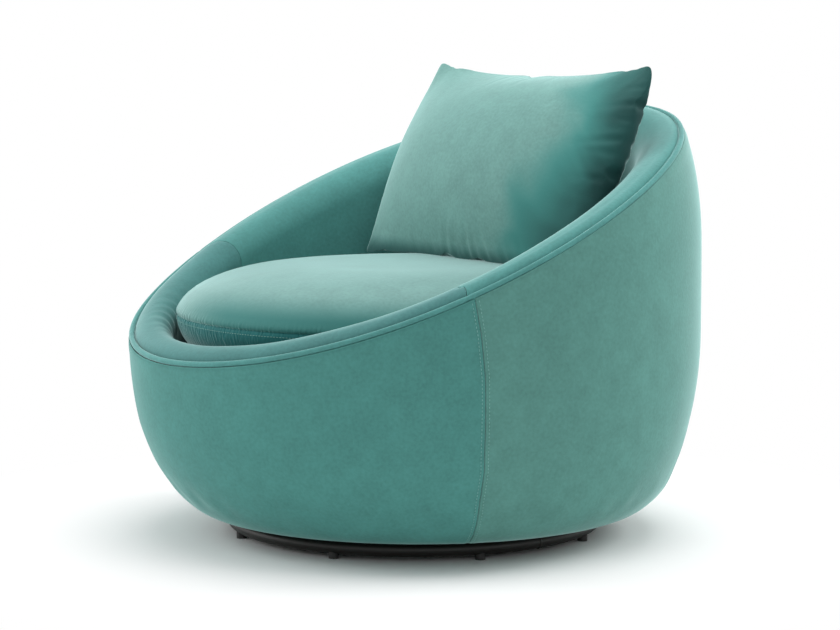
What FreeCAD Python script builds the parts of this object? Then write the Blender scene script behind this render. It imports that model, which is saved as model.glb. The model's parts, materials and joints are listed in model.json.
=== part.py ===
import FreeCAD, Part
import math
import os

# Swivel tub armchair. Millimetres, +Z up, front towards -Y.
# The origin is on the floor, on the swivel axis.
V = FreeCAD.Vector
axis_up = V(0, 0, 1)
floor_centre = V(0, 0, 0)

# Tub outside: a turned shape, two quarter ellipses joined by a straight wall
tub_radius = 430.0
tub_tuck = 120.0            # how far the lower curve draws in
tub_gap = 5.0               # between the base ring and the tub's underside
belly_rise = 268.0          # height of the lower curve
belly_wall = 140.0          # height of the straight wall
shoulder_depth = 88.0       # how far the upper curve draws in
shoulder_spare = 6.0        # the upper curve ends this far above the rim line

# Rim line in the side view, a cubic from front to back
rim_overhang = 30.0         # the line runs this far past the tub at both ends
rim_front_end = 275.0
rim_front_rise = 101.6      # from the front end to its handle
rim_back_end = 664.0
rim_back_drop = 89.0        # from the back end to its handle

# Well that the seat cushion sits in
tub_wall = 84.0             # tub radius less well radius
well_forward = 20.0         # the well's axis lies this far in front of the swivel axis
pad_rise_front = 8.0        # the padded rim stands this far above the piping line
pad_rise_back = 3.0
pad_edge = 10.0             # rounding of the padded rim beside the piping
roll_largest = 38.0         # rounding of the padded rim into the well
rounding_share = 0.9        # of the wall's width, at most, taken by both roundings
deck_height = 235.0         # what the seat cushion rests on

# Layers of the tub wall, from outside to inside
cover_thickness = 3.0
outer_foam_thickness = 10.0
card_thickness = 2.0
foam_least = 2.5            # inner foam at its thinnest, at the front
layer_gap = 0.3
seam_angle = 69.0           # side seams, measured from the front
seam_gap = 0.05             # degrees left open at a seam
hem_width = 52.0            # the outer cover is turned under this far

# Piping along the rim
piping_diameter = 8.6
piping_clearance = 1.2
piping_points = 32
piping_rounds = 30          # steps that settle a point on the rim
tangent_step = 0.001

# Plywood frame
board_thickness = 18.0
board_overhang = 14.0       # past the radius where the underside starts to rise
board_chamfer = 10.0
board_centre_hole = 40.0
rib_count = 10
rib_thickness = 18.0
rib_foot = 34.0             # width of a rib's foot on the board
hoop_below_front = 64.0     # top of the hoop below the rim line
hoop_below_back = 52.0
hoop_thickness = 18.0
seat_ring_thickness = 18.0
seat_ring_width = 46.0      # how far it reaches in under the well
slide_clearance = 0.5

# Seat platform
strap_width = 60.0
strap_thickness = 2.0
strap_pitch = 105.0
strap_count = 5
strap_lap = 40.0            # length of a strap's end on the seat ring
deck_pad_thickness = 18.0
deck_cloth_thickness = 1.5
dust_cover_thickness = 0.8
dust_cover_gap = 5.6        # to the corners of the upper plate

# Swivel
plate_size = 190.0
plate_corner = 12.0
plate_thickness = 2.5
ball_seat = 1.5             # how far the balls lie in both plates together
hub_thickness = 3.0
hub_centre_hole = 40.0
ball_diameter = 9.5
ball_count = 20
race_margin = 15.0          # from the race's middle line to the plate's edge
race_clearance = 0.15
cage_width = 16.0
cage_thickness = 3.0
cage_clearance = 0.25
rivet_outer = 16.0
rivet_inner = 12.0
rivet_flange = 26.0
rivet_flange_thickness = 1.5
rivet_fit = 0.1
running_clearance = 0.1
washer_thickness = 1.0
washer_outer = 30.0

# Fasteners
bolt_room = 3.0             # between the cage and a bolt head
bolt_diameter = 6.0
bolt_head = 10.5
bolt_head_height = 3.3
bolt_fit = 0.2
bolt_end = 2.0
nut_flats = 10.0
nut_height = 5.0
tee_flange = 20.0
tee_flange_thickness = 1.5
tee_barrel = 8.0
tee_length = 12.0
thread_fit = 0.1

# Base
ring_inset = 36.0           # in from where the underside starts to rise
tube_diameter = 20.0
glide_height = 7.0
glide_diameter = 15.0
glide_saddle = 4.0          # height of the glide's cheeks beside the tube
glide_count = 8
glide_first_angle = 32.0
glide_stem = 6.0
glide_stem_length = 8.0
glide_fit = 0.1
spoke_count = 4
spoke_width = 30.0
spoke_height = 12.0
spoke_wall = 1.5
spoke_inner = 20.0
weld_gap = 0.2

# Seat cushion
cushion_clearance = 7.0     # to the well all round
cushion_band = 95.0         # height of the seam, the widest line, above the deck
cushion_crown = 75.0        # rise of the top above the seam
cushion_top_curve = 200.0   # how far in the top panel curves
cushion_low_curve = 150.0   # how far in the lower panel curves
cushion_cover = 2.5
seam_slit = 0.2

# Back pillow
pillow_span = 0.792         # half width as a share of the well's radius
pillow_height = 330.0
pillow_lean = 26.0          # degrees back from upright
pillow_room = 26.3          # between its side edges and the rim they lean towards
pillow_swell = 78.0         # bulge of each face
pillow_edge = 5.0           # bulge left at the side edges
pillow_sag = 20.0           # how much the top edge dips between its corners
pillow_droop = 12.0         # how much the lower corners hang
pillow_droop_power = 4
pillow_swell_power = 0.65   # how full the faces stay towards the side edges
pillow_cover = 2.0
pillow_tip = 1.5            # a layer's ends draw in by this much of its inset
pillow_stations = (-1.0, -0.93, -0.75, -0.4, 0.0, 0.4, 0.75, 0.93, 1.0)

# Radii that follow from the sizes above
tub_floor_radius = tub_radius - tub_tuck
well_radius = tub_radius - tub_wall
hem_radius = tub_floor_radius - hem_width
board_radius = tub_floor_radius + board_overhang
rib_foot_radius = board_radius - rib_foot
seat_ring_inner = well_radius - seat_ring_width
strap_reach = seat_ring_inner + strap_lap
ring_radius = tub_floor_radius - ring_inset
dust_cover_inner = plate_size / math.sqrt(2) + dust_cover_gap
race_radius = plate_size / 2 - race_margin
bolt_circle = race_radius + cage_width / 2 + bolt_room + bolt_head / 2
bolt_pattern = bolt_circle / math.sqrt(2)
rim_span = tub_radius + rim_overhang

# Heights that follow
tub_bottom = glide_height + tube_diameter + tub_gap
belly_low = tub_bottom + belly_rise
belly_high = belly_low + belly_wall
shoulder_rise = rim_back_end + shoulder_spare - belly_high
rim_front_handle = rim_front_end + rim_front_rise
rim_back_handle = rim_back_end - rim_back_drop
plate_gap = ball_diameter - ball_seat
board_bottom = tub_bottom + cover_thickness + layer_gap
board_top = board_bottom + board_thickness
upper_plate_bottom = board_bottom - plate_thickness
lower_plate_top = upper_plate_bottom - plate_gap
lower_plate_bottom = lower_plate_top - plate_thickness
hub_bottom = lower_plate_bottom - hub_thickness
ball_height = (lower_plate_top + upper_plate_bottom) / 2
tube_height = glide_height + tube_diameter / 2
deck_cloth_bottom = deck_height - deck_cloth_thickness
deck_pad_bottom = deck_cloth_bottom - deck_pad_thickness
cross_strap_bottom = deck_pad_bottom - strap_thickness
strap_bottom = cross_strap_bottom - strap_thickness
seat_ring_bottom = strap_bottom - seat_ring_thickness
cushion_seam = deck_height + cushion_band
pillow_rest = cushion_seam + cushion_crown + layer_gap

# Insets of the layers from the tub's outer face
outer_foam_from = cover_thickness + layer_gap
outer_foam_to = outer_foam_from + outer_foam_thickness
outer_card_from = outer_foam_to + layer_gap
outer_card_to = outer_card_from + card_thickness
rib_from = outer_card_to + layer_gap
inner_layers = card_thickness + 2 * layer_gap + foam_least + cover_thickness
rib_depth = tub_wall - well_forward - rib_from - inner_layers
rib_to = rib_from + rib_depth
inner_card_from = rib_to + layer_gap
inner_card_to = inner_card_from + card_thickness
inner_foam_from = inner_card_to + layer_gap
piping_channel = piping_diameter + piping_clearance
lining_inside = piping_channel + cover_thickness
bowl_foam_from = max(outer_card_from, lining_inside + layer_gap)
front_wall = tub_wall - well_forward - piping_channel
roll_radius = min(roll_largest, rounding_share * front_wall - pad_edge)

# Room round the chair for cutting tools
reach = 2 * tub_radius
tall = 2 * rim_back_end


def quarter_ellipse(centre, end_a, end_b):
    if (end_a - centre).Length >= (end_b - centre).Length:
        ellipse = Part.Ellipse(end_a, end_b, centre)
    else:
        ellipse = Part.Ellipse(end_b, end_a, centre)
    return Part.ArcOfEllipse(ellipse, 0, math.pi / 2).toShape()


def turned(edges, centre):
    wire = Part.Wire(Part.__sortEdges__(edges))
    return Part.Face(wire).revolve(centre, axis_up, 360)


def barrel(inset):
    low = V(0, tub_floor_radius, tub_bottom + inset)
    side_low = V(0, tub_radius - inset, belly_low)
    side_high = V(0, tub_radius - inset, belly_high)
    top = V(0, tub_radius - shoulder_depth, belly_high + shoulder_rise - inset)
    foot = V(0, 0, low.z)
    head = V(0, 0, top.z)
    edges = [
        Part.makeLine(foot, low),
        quarter_ellipse(V(0, low.y, belly_low), low, side_low),
        Part.makeLine(side_low, side_high),
        quarter_ellipse(V(0, top.y, belly_high), side_high, top),
        Part.makeLine(top, head),
        Part.makeLine(head, foot),
    ]
    return turned(edges, floor_centre)


def barrel_radius(height, inset):
    if height < belly_low:
        share = (belly_low - height) / (belly_low - tub_bottom - inset)
        width = tub_radius - tub_floor_radius - inset
        return tub_floor_radius + width * math.sqrt(max(0.0, 1 - share * share))
    if height <= belly_high:
        return tub_radius - inset
    share = (height - belly_high) / (shoulder_rise - inset)
    depth = shoulder_depth - inset
    return tub_radius - shoulder_depth + depth * math.sqrt(max(0.0, 1 - share * share))


def rim_height(y):
    t = (y + rim_span) / (2 * rim_span)
    s = 1 - t
    front = rim_front_end * s**3 + 3 * rim_front_handle * s * s * t
    return front + 3 * rim_back_handle * s * t * t + rim_back_end * t**3


hoop_front = rim_height(-tub_radius) - hoop_below_front
hoop_back = rim_height(tub_radius) - hoop_below_back
hoop_height = (hoop_front + hoop_back) / 2
hoop_slope = (hoop_back - hoop_front) / (2 * tub_radius)
hoop_drop = hoop_thickness * math.hypot(1, hoop_slope)


def pad_rise(y):
    t = (y + rim_span) / (2 * rim_span)
    return pad_rise_front + (pad_rise_back - pad_rise_front) * t


def above_rim(drop, with_pad):
    heights = (rim_front_end, rim_front_handle, rim_back_handle, rim_back_end)
    poles = []
    for index, height in enumerate(heights):
        y = -rim_span + index * 2 * rim_span / 3
        rise = pad_rise(y) if with_pad else 0
        poles.append(V(-reach, y, height + rise - drop))
    curve = Part.BezierCurve()
    curve.setPoles(poles)
    front_top = V(-reach, -rim_span, tall)
    back_top = V(-reach, rim_span, tall)
    edges = [
        curve.toShape(),
        Part.makeLine(poles[0], front_top),
        Part.makeLine(front_top, back_top),
        Part.makeLine(back_top, poles[-1]),
    ]
    face = Part.Face(Part.Wire(Part.__sortEdges__(edges)))
    return face.extrude(V(2 * reach, 0, 0))


def above_slant(lift):
    low = hoop_height + lift - hoop_slope * reach
    high = hoop_height + lift + hoop_slope * reach
    corners = [
        V(-reach, -reach, low),
        V(-reach, reach, high),
        V(-reach, reach, tall),
        V(-reach, -reach, tall),
        V(-reach, -reach, low),
    ]
    return Part.Face(Part.makePolygon(corners)).extrude(V(2 * reach, 0, 0))


def below(height):
    return Part.makeBox(2 * reach, 2 * reach, tall, V(-reach, -reach, height - tall))


def front_sector(half_angle):
    corners = [V(0, 0, 0)]
    for step in (-1.0, -0.5, 0.0, 0.5, 1.0):
        angle = math.radians(-90 + step * half_angle)
        corners.append(V(reach * math.cos(angle), reach * math.sin(angle), 0))
    corners.append(corners[0])
    return Part.Face(Part.makePolygon(corners)).extrude(V(0, 0, tall))


def disc(radius, bottom, thickness):
    return Part.makeCylinder(radius, thickness, V(0, 0, bottom))


def ring(outer, inner, bottom, thickness):
    return disc(outer, bottom, thickness).cut(disc(inner, bottom, thickness))


def turned_copies(shape, count, first_angle):
    copies = []
    for index in range(count):
        copy = shape.copy()
        copy.rotate(floor_centre, axis_up, first_angle + index * 360 / count)
        copies.append(copy)
    return copies


def bolt_places(height):
    signs = ((1, 1), (-1, 1), (-1, -1), (1, -1))
    return [V(sx * bolt_pattern, sy * bolt_pattern, height) for sx, sy in signs]


def at_bolts(shape, height):
    copies = []
    for place in bolt_places(height):
        copy = shape.copy()
        copy.translate(place)
        copies.append(copy)
    return copies


def drilled(shape, diameter, bottom, depth):
    for place in bolt_places(bottom):
        shape = shape.cut(Part.makeCylinder(diameter / 2, depth, place))
    return shape


def save(name, shapes):
    shape = shapes[0] if len(shapes) == 1 else Part.makeCompound(shapes)
    shape.exportStep("parts/" + name + ".step")
    print(name, len(shape.Solids), "solids,", round(shape.Volume / 1000, 1), "cm3, valid", shape.isValid())


# Base


def tube_ring(extra):
    return Part.makeTorus(ring_radius, tube_diameter / 2 + extra, V(0, 0, tube_height))


def glide():
    pad = Part.makeCylinder(glide_diameter / 2, glide_height + glide_saddle, V(ring_radius, 0, 0))
    pad = pad.cut(tube_ring(glide_fit))
    stem_top = glide_height + glide_stem_length
    stem = Part.makeCylinder(glide_stem / 2, stem_top, V(ring_radius, 0, 0))
    return pad.fuse(stem).removeSplitter()


def base_ring():
    shape = tube_ring(0)
    hole_depth = glide_stem_length + glide_fit
    hole = Part.makeCylinder(glide_stem / 2 + glide_fit, glide_height + hole_depth, V(ring_radius, 0, 0))
    for cut in turned_copies(hole, glide_count, glide_first_angle):
        shape = shape.cut(cut)
    return shape


def spoke():
    length = ring_radius - spoke_inner
    bottom = hub_bottom - spoke_height
    bar = Part.makeBox(length, spoke_width, spoke_height, V(spoke_inner, -spoke_width / 2, bottom))
    bore_width = spoke_width - 2 * spoke_wall
    bore_height = spoke_height - 2 * spoke_wall
    bore = Part.makeBox(length, bore_width, bore_height, V(spoke_inner, -bore_width / 2, bottom + spoke_wall))
    return bar.cut(bore).cut(tube_ring(weld_gap))


def square_plate(bottom, thickness, hole):
    plate = Part.makeBox(plate_size, plate_size, thickness, V(-plate_size / 2, -plate_size / 2, bottom))
    corners = [edge for edge in plate.Edges if edge.BoundBox.ZLength > thickness / 2]
    plate = plate.makeFillet(plate_corner, corners)
    plate = plate.cut(disc(hole / 2, bottom, thickness))
    return drilled(plate, bolt_diameter + 2 * bolt_fit, bottom, thickness)


def swivel_plate(bottom, hole):
    race = Part.makeTorus(race_radius, ball_diameter / 2 + race_clearance, V(0, 0, ball_height))
    return square_plate(bottom, plate_thickness, hole).cut(race)


def ball_cage():
    inner = race_radius - cage_width / 2
    outer = race_radius + cage_width / 2
    bottom = ball_height - cage_thickness / 2
    shape = ring(outer, inner, bottom, cage_thickness)
    pocket = Part.makeCylinder(ball_diameter / 2 + cage_clearance, cage_thickness, V(race_radius, 0, bottom))
    for cut in turned_copies(pocket, ball_count, 0):
        shape = shape.cut(cut)
    return shape


def pivot_rivet():
    low = lower_plate_bottom - rivet_flange_thickness
    high = board_bottom + washer_thickness + running_clearance + rivet_flange_thickness
    shank = disc(rivet_outer / 2, low, high - low)
    low_flange = disc(rivet_flange / 2, low, rivet_flange_thickness)
    high_flange = disc(rivet_flange / 2, high - rivet_flange_thickness, rivet_flange_thickness)
    shape = shank.fuse([low_flange, high_flange]).removeSplitter()
    return shape.cut(disc(rivet_inner / 2, low, high - low))


def bolt(shank_length):
    shank = Part.makeCylinder(bolt_diameter / 2, shank_length, V(0, 0, -shank_length))
    head = Part.makeCylinder(bolt_head / 2, bolt_head_height)
    return shank.fuse(head).removeSplitter()


def nut():
    corner = nut_flats / math.sqrt(3)
    points = []
    for index in range(7):
        angle = math.radians(60 * index)
        points.append(V(corner * math.cos(angle), corner * math.sin(angle), 0))
    body = Part.Face(Part.makePolygon(points)).extrude(V(0, 0, nut_height))
    return body.cut(Part.makeCylinder(bolt_diameter / 2 + thread_fit, nut_height))


def tee_nut():
    flange = Part.makeCylinder(tee_flange / 2, tee_flange_thickness)
    barrel_part = Part.makeCylinder(tee_barrel / 2, tee_length, V(0, 0, -tee_length))
    bore_length = tee_length + tee_flange_thickness
    bore = Part.makeCylinder(bolt_diameter / 2 + thread_fit, bore_length, V(0, 0, -tee_length))
    return flange.fuse(barrel_part).removeSplitter().cut(bore)


lower_bolt_length = plate_thickness + hub_thickness + nut_height + bolt_end
lower_bolt = bolt(lower_bolt_length)
upper_bolt_length = plate_thickness + board_thickness + tee_flange_thickness
upper_bolt = bolt(upper_bolt_length)
upper_bolt.rotate(floor_centre, V(1, 0, 0), 180)


# Tub frame


def bottom_board():
    shape = disc(board_radius, board_bottom, board_thickness)
    rim_edge = [edge for edge in shape.Edges if edge.Closed and edge.BoundBox.ZMax < board_bottom + 1]
    shape = shape.makeChamfer(board_chamfer, rim_edge)
    shape = shape.cut(disc(board_centre_hole / 2, board_bottom, board_thickness))
    return drilled(shape, tee_barrel + 2 * bolt_fit, board_bottom, board_thickness)


def frame_ribs():
    width = tub_radius - rib_foot_radius
    blank = Part.makeBox(width, rib_thickness, tall, V(rib_foot_radius, -rib_thickness / 2, board_top))
    step = barrel(rib_to).cut(below(seat_ring_bottom))
    rib = blank.common(barrel(rib_from)).cut(step)
    first_angle = -90 + 180 / rib_count
    hoop_and_more = above_slant(-hoop_drop)
    return [copy.cut(hoop_and_more) for copy in turned_copies(rib, rib_count, first_angle)]


def rim_hoop():
    slab = above_slant(-hoop_drop).cut(above_slant(0))
    return barrel(rib_from).common(slab).cut(barrel(rib_to))


def seat_ring():
    outer = barrel_radius(seat_ring_bottom, rib_to) - slide_clearance
    return ring(outer, seat_ring_inner, seat_ring_bottom, seat_ring_thickness)


def straps(bottom, turn):
    shapes = []
    for index in range(strap_count):
        x = (index - (strap_count - 1) / 2) * strap_pitch
        edge = abs(x) + strap_width / 2
        half = math.sqrt(strap_reach**2 - edge**2)
        strap = Part.makeBox(strap_width, 2 * half, strap_thickness, V(x - strap_width / 2, -half, bottom))
        strap.rotate(floor_centre, axis_up, turn)
        shapes.append(strap)
    return shapes


deck_radius = barrel_radius(deck_pad_bottom, inner_card_to) - slide_clearance


def layer(start, end, cuts):
    shape = barrel(start)
    for cut in cuts:
        shape = shape.cut(cut)
    return shape.cut(barrel(end))


def outer_foam():
    cuts = [below(board_top), above_rim(piping_channel + 2 * layer_gap, False)]
    return layer(outer_foam_from, outer_foam_to, cuts)


def outer_card():
    return layer(outer_card_from, outer_card_to, [below(board_top), above_slant(0)])


def inner_card():
    cuts = [below(strap_bottom), above_slant(-hoop_drop - layer_gap)]
    return layer(inner_card_from, inner_card_to, cuts)


# Padded bowl, lining, covers and piping


def pad_edges(shape, depth, least_radius, greatest_radius):
    found = []
    for edge in shape.Edges:
        middle = edge.valueAt((edge.FirstParameter + edge.LastParameter) / 2)
        radius = math.hypot(middle.x, middle.y + well_forward)
        pad_top = rim_height(middle.y) + pad_rise(middle.y) - depth
        if abs(middle.z - pad_top) < layer_gap and least_radius < radius < greatest_radius:
            found.append(edge)
    return found


def bowl(depth, outer_inset):
    radius = well_radius + depth
    well = Part.makeCylinder(radius, tall, V(0, -well_forward, seat_ring_bottom))
    body = barrel(outer_inset).cut(above_rim(depth, True)).cut(well)
    body = body.makeFillet(roll_radius - depth, pad_edges(body, depth, 0, radius + layer_gap))
    return body.makeFillet(pad_edge - depth, pad_edges(body, depth, radius + roll_radius, reach))


def inner_foam():
    shape = bowl(cover_thickness + layer_gap, bowl_foam_from)
    frame_room = layer(0, inner_foam_from, [above_slant(layer_gap)])
    return shape.cut(frame_room).cut(below(deck_height + layer_gap))


def lining():
    shape = bowl(0, piping_channel).cut(bowl(cover_thickness, lining_inside))
    skirt = layer(0, lining_inside + layer_gap, [above_rim(piping_channel, False)])
    return shape.cut(skirt).cut(below(deck_height + layer_gap))


def outer_cover():
    cuts = [above_rim(piping_channel + layer_gap, False), disc(hem_radius, 0, board_top)]
    return layer(0, cover_thickness, cuts)


def front_part(shape):
    return shape.common(front_sector(seam_angle - seam_gap))


def back_part(shape):
    return shape.cut(front_sector(seam_angle))


def piping_point(angle):
    half = piping_channel / 2
    radius = tub_radius - half
    for _ in range(piping_rounds):
        height = rim_height(radius * math.sin(angle)) - half
        radius = barrel_radius(height, half)
    return V(radius * math.cos(angle), radius * math.sin(angle), height)


def piping_tangent(angle):
    direction = piping_point(angle + tangent_step) - piping_point(angle - tangent_step)
    return direction.normalize()


def arc_edge(start, tangent, end):
    chord = end - start
    along = V(chord).normalize()
    lean = tangent.getAngle(chord)
    side = tangent - along * tangent.dot(along)
    middle = start + chord * 0.5 + side.normalize() * (chord.Length / 2 * math.tan(lean / 2))
    return Part.Arc(start, middle, end).toShape()


def biarc(start, start_tangent, end, end_tangent):
    chord = end - start
    both = start_tangent + end_tangent
    spread = 2 * (1 - start_tangent.dot(end_tangent))
    along = chord.dot(both)
    reach_out = (-along + math.sqrt(along**2 + spread * chord.dot(chord))) / spread
    joint = (start + start_tangent * reach_out + end - end_tangent * reach_out) * 0.5
    first = arc_edge(start, start_tangent, joint)
    second = arc_edge(end, end_tangent * -1, joint)
    return [first, second]


def rim_piping():
    angles = [2 * math.pi * index / piping_points for index in range(piping_points + 1)]
    edges = []
    for first, second in zip(angles, angles[1:]):
        ends = (piping_point(first), piping_tangent(first), piping_point(second), piping_tangent(second))
        edges += biarc(*ends)
    path = Part.Wire(Part.__sortEdges__(edges))
    circle = Part.Circle(piping_point(0), piping_tangent(0), piping_diameter / 2)
    return path.makePipeShell([Part.Wire(circle.toShape())], True, False)


# Seat cushion

cushion_radius = well_radius - cushion_clearance
cushion_bottom = deck_height + layer_gap
cushion_axis = V(0, -well_forward, 0)


def cushion_point(radius, height):
    return V(0, radius - well_forward, height)


def cushion(inset):
    crown_height = cushion_seam + cushion_crown - inset
    low = cushion_point(cushion_radius - cushion_low_curve, cushion_bottom + inset)
    low_centre = cushion_point(cushion_radius - cushion_low_curve, cushion_seam)
    side = cushion_point(cushion_radius - inset, cushion_seam)
    top_centre = cushion_point(cushion_radius - cushion_top_curve, cushion_seam)
    top = cushion_point(cushion_radius - cushion_top_curve, crown_height)
    foot = cushion_point(0, cushion_bottom + inset)
    head = cushion_point(0, crown_height)
    edges = [
        Part.makeLine(foot, low),
        quarter_ellipse(low_centre, low, side),
        quarter_ellipse(top_centre, side, top),
        Part.makeLine(top, head),
        Part.makeLine(head, foot),
    ]
    return turned(edges, cushion_axis)


cushion_skin = cushion(0).cut(cushion(cushion_cover))
cushion_foam = cushion(cushion_cover + layer_gap)
cushion_top_cover = cushion_skin.cut(below(cushion_seam + seam_slit / 2))
cushion_bottom_cover = cushion_skin.common(below(cushion_seam - seam_slit / 2))


# Back pillow

lean = math.radians(pillow_lean)
pillow_up = V(0, math.sin(lean), math.cos(lean))
pillow_front = V(0, -math.cos(lean), math.sin(lean))
pillow_half_width = pillow_span * well_radius
wall_behind = math.sqrt(well_radius**2 - pillow_half_width**2) - well_forward
pillow_reach = (rim_height(wall_behind) - pillow_rest) * math.tan(lean)
pillow_foot = wall_behind - pillow_room - pillow_reach


def pillow_section(station, inset):
    side = abs(station)
    x = station * (pillow_half_width - inset)
    low = -pillow_droop * side**pillow_droop_power + pillow_tip * inset
    high = pillow_height - pillow_sag * (1 - side * side) - pillow_tip * inset
    fullness = (1 - side * side) ** pillow_swell_power
    swell = pillow_edge + (pillow_swell - pillow_edge) * fullness - inset
    foot = V(x, pillow_foot, pillow_rest)
    bottom = foot + pillow_up * low
    top = foot + pillow_up * high
    middle = (bottom + top) * 0.5
    front_arc = Part.Arc(bottom, middle + pillow_front * swell, top).toShape()
    rear_arc = Part.Arc(top, middle - pillow_front * swell, bottom).toShape()
    return Part.Wire([front_arc, rear_arc])


def pillow(inset):
    return Part.makeLoft([pillow_section(station, inset) for station in pillow_stations], True, False)


def pillow_half(front):
    depth = 2 * pillow_height
    start = -depth - seam_slit / 2 if front else seam_slit / 2
    box = Part.makeBox(2 * depth, depth, 2 * depth, V(-depth, start, -depth))
    box.rotate(floor_centre, V(1, 0, 0), -pillow_lean)
    box.translate(V(0, pillow_foot, pillow_rest))
    return box


pillow_skin = pillow(0).cut(pillow(pillow_cover))
pillow_fill = pillow(pillow_cover + layer_gap)

# Save every piece

os.makedirs("parts", exist_ok=True)

save("base_ring", [base_ring()])
save("base_spokes", turned_copies(spoke(), spoke_count, 0))
save("hub_plate", [square_plate(hub_bottom, hub_thickness, hub_centre_hole)])
save("glides", turned_copies(glide(), glide_count, glide_first_angle))
save("swivel_lower_plate", [swivel_plate(lower_plate_bottom, rivet_outer + 2 * rivet_fit)])
save("lower_plate_bolts", at_bolts(lower_bolt, lower_plate_top))
save("lower_plate_nuts", at_bolts(nut(), hub_bottom - nut_height))
save("pivot_rivet", [pivot_rivet()])

save("ball_cage", [ball_cage()])
ball = Part.makeSphere(ball_diameter / 2, V(race_radius, 0, ball_height))
save("bearing_balls", turned_copies(ball, ball_count, 0))

save("swivel_upper_plate", [swivel_plate(upper_plate_bottom, rivet_outer + 2 * running_clearance)])
washer_hole = rivet_outer / 2 + running_clearance
save("pivot_washer", [ring(washer_outer / 2, washer_hole, board_bottom, washer_thickness)])
save("upper_plate_bolts", at_bolts(upper_bolt, upper_plate_bottom))
save("tee_nuts", at_bolts(tee_nut(), board_top))
save("bottom_board", [bottom_board()])
dust_cover_outer = hem_radius - slide_clearance
dust_cover_bottom = board_bottom - dust_cover_thickness
save("dust_cover", [ring(dust_cover_outer, dust_cover_inner, dust_cover_bottom, dust_cover_thickness)])
save("frame_ribs", frame_ribs())
save("rim_hoop", [rim_hoop()])
save("seat_ring", [seat_ring()])
save("seat_webbing", straps(strap_bottom, 0))
save("cross_webbing", straps(cross_strap_bottom, 90))
save("deck_pad", [disc(deck_radius, deck_pad_bottom, deck_pad_thickness)])
save("deck_cloth", [disc(deck_radius, deck_cloth_bottom, deck_cloth_thickness)])
save("outer_card", [outer_card()])
save("inner_card", [inner_card()])
save("outer_foam", [outer_foam()])
save("inner_foam", [inner_foam()])
whole_cover = outer_cover()
save("outer_front_cover", [front_part(whole_cover)])
save("outer_back_cover", [back_part(whole_cover)])
whole_lining = lining()
save("inner_front_lining", [front_part(whole_lining)])
save("inner_back_lining", [back_part(whole_lining)])
save("rim_piping", [rim_piping()])

save("seat_cushion_foam", [cushion_foam])
save("seat_cushion_top_cover", [cushion_top_cover])
save("seat_cushion_bottom_cover", [cushion_bottom_cover])

save("back_pillow_fill", [pillow_fill])
save("back_pillow_front_cover", [pillow_skin.common(pillow_half(True))])
save("back_pillow_rear_cover", [pillow_skin.common(pillow_half(False))])
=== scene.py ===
import bpy
import json
import math
import numpy as np
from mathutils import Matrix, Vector, noise
from mathutils.bvhtree import BVHTree

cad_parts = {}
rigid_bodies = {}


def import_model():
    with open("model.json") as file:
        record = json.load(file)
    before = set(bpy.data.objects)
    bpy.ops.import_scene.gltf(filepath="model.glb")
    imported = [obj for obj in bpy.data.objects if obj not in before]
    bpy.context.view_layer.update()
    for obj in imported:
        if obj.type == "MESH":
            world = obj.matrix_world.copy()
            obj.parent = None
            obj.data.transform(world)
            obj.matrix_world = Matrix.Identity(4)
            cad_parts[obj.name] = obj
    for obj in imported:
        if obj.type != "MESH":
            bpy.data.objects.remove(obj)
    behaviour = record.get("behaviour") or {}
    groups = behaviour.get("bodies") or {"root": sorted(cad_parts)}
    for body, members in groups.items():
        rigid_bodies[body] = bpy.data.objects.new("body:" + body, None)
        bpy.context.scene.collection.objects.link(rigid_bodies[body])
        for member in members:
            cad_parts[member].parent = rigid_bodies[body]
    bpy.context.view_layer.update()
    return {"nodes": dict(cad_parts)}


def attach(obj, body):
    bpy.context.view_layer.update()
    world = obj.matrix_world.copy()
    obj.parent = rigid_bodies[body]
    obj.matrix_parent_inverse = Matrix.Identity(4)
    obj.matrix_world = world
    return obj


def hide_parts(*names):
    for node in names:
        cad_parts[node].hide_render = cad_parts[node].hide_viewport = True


for leftOver in list(bpy.data.objects):
    bpy.data.objects.remove(leftOver)

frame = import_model()
scene = bpy.context.scene
print("frame loaded,", len(frame["nodes"]), "nodes")


def linearColour(code):
    shares = [int(code[i:i + 2], 16) / 255 for i in (1, 3, 5)]
    return (*[s / 12.92 if s <= 0.04045 else ((s + 0.055) / 1.055) ** 2.4 for s in shares], 1.0)


def addNode(tree, kind, inputs=None, **settings):
    node = tree.nodes.new(kind)
    for name, value in settings.items():
        setattr(node, name, value)
    for socket, value in (inputs or {}).items():
        if isinstance(value, bpy.types.NodeSocket):
            tree.links.new(value, node.inputs[socket])
        else:
            node.inputs[socket].default_value = value
    return node


def startMaterial(name, **shaderInputs):
    material = bpy.data.materials.new(name)
    material.use_nodes = True
    tree = material.node_tree
    shader = tree.nodes["Principled BSDF"]
    for socket, value in shaderInputs.items():
        shader.inputs[socket.replace("_", " ")].default_value = value
    return material, tree, shader


# Cut-pile polyester velvet: dull from above, pale where the pile is seen edge on, with brushed patches
velvetLook = dict(
    patch=0.22,             # metres across a brushed patch
    patchTwist=0.6,
    streak=0.035,           # metres across a finger streak
    pile=0.0048,            # tufts are finer, drawn as coarse as they need to show
    fineDetail=3.0,
    pileShare=0.75,
    pileBump=0.35,
    pileHeight=0.0006,
    rampEnds=(0.385, 0.885),
    spread=(0.87, 1.13),    # darkest and palest share of the colour
    raggedness=0.25,        # how far the patches move the border of a painted shade zone
    roughness=0.82,
    specular=0.25,
    sheenRoughness=0.30,
    sheenTint="#CEF3F1",
)
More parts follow.
